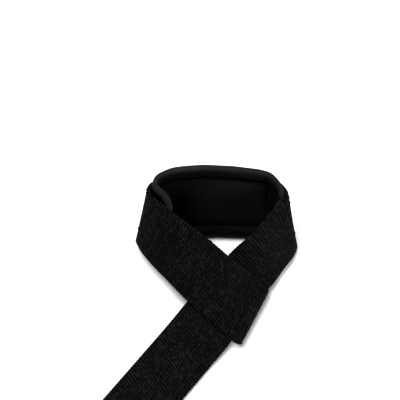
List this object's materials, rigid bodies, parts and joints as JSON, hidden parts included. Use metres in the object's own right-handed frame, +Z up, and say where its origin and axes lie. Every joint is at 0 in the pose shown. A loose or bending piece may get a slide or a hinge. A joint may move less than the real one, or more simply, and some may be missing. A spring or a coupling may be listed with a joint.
{
  "type": "weightlifting strap",
  "caption": "Padded lifting strap laid as a noose: ribbed webbing whose free end passes through its own sewn slot, with a soft wrist pad inside the loop.",
  "frame": {"origin": "on the floor, under the middle of the strap's box", "axes": "+Z up from the floor, +Y away from the free end towards the padded back of the noose, +X to the right of the noose as the free end is looked along"},
  "size_m": [0.2256, 0.2858, 0.0415],
  "materials": {
    "webbing": "black ribbed webbing, matt with a dry sheen on the ribs",
    "wrist_pad": "smooth black knit over foam, soft sheen on the rolled border"
  },
  "bodies": {
    "root": {"webbing": "webbing", "wrist_pad": "wrist_pad"}
  },
  "joints": []
}
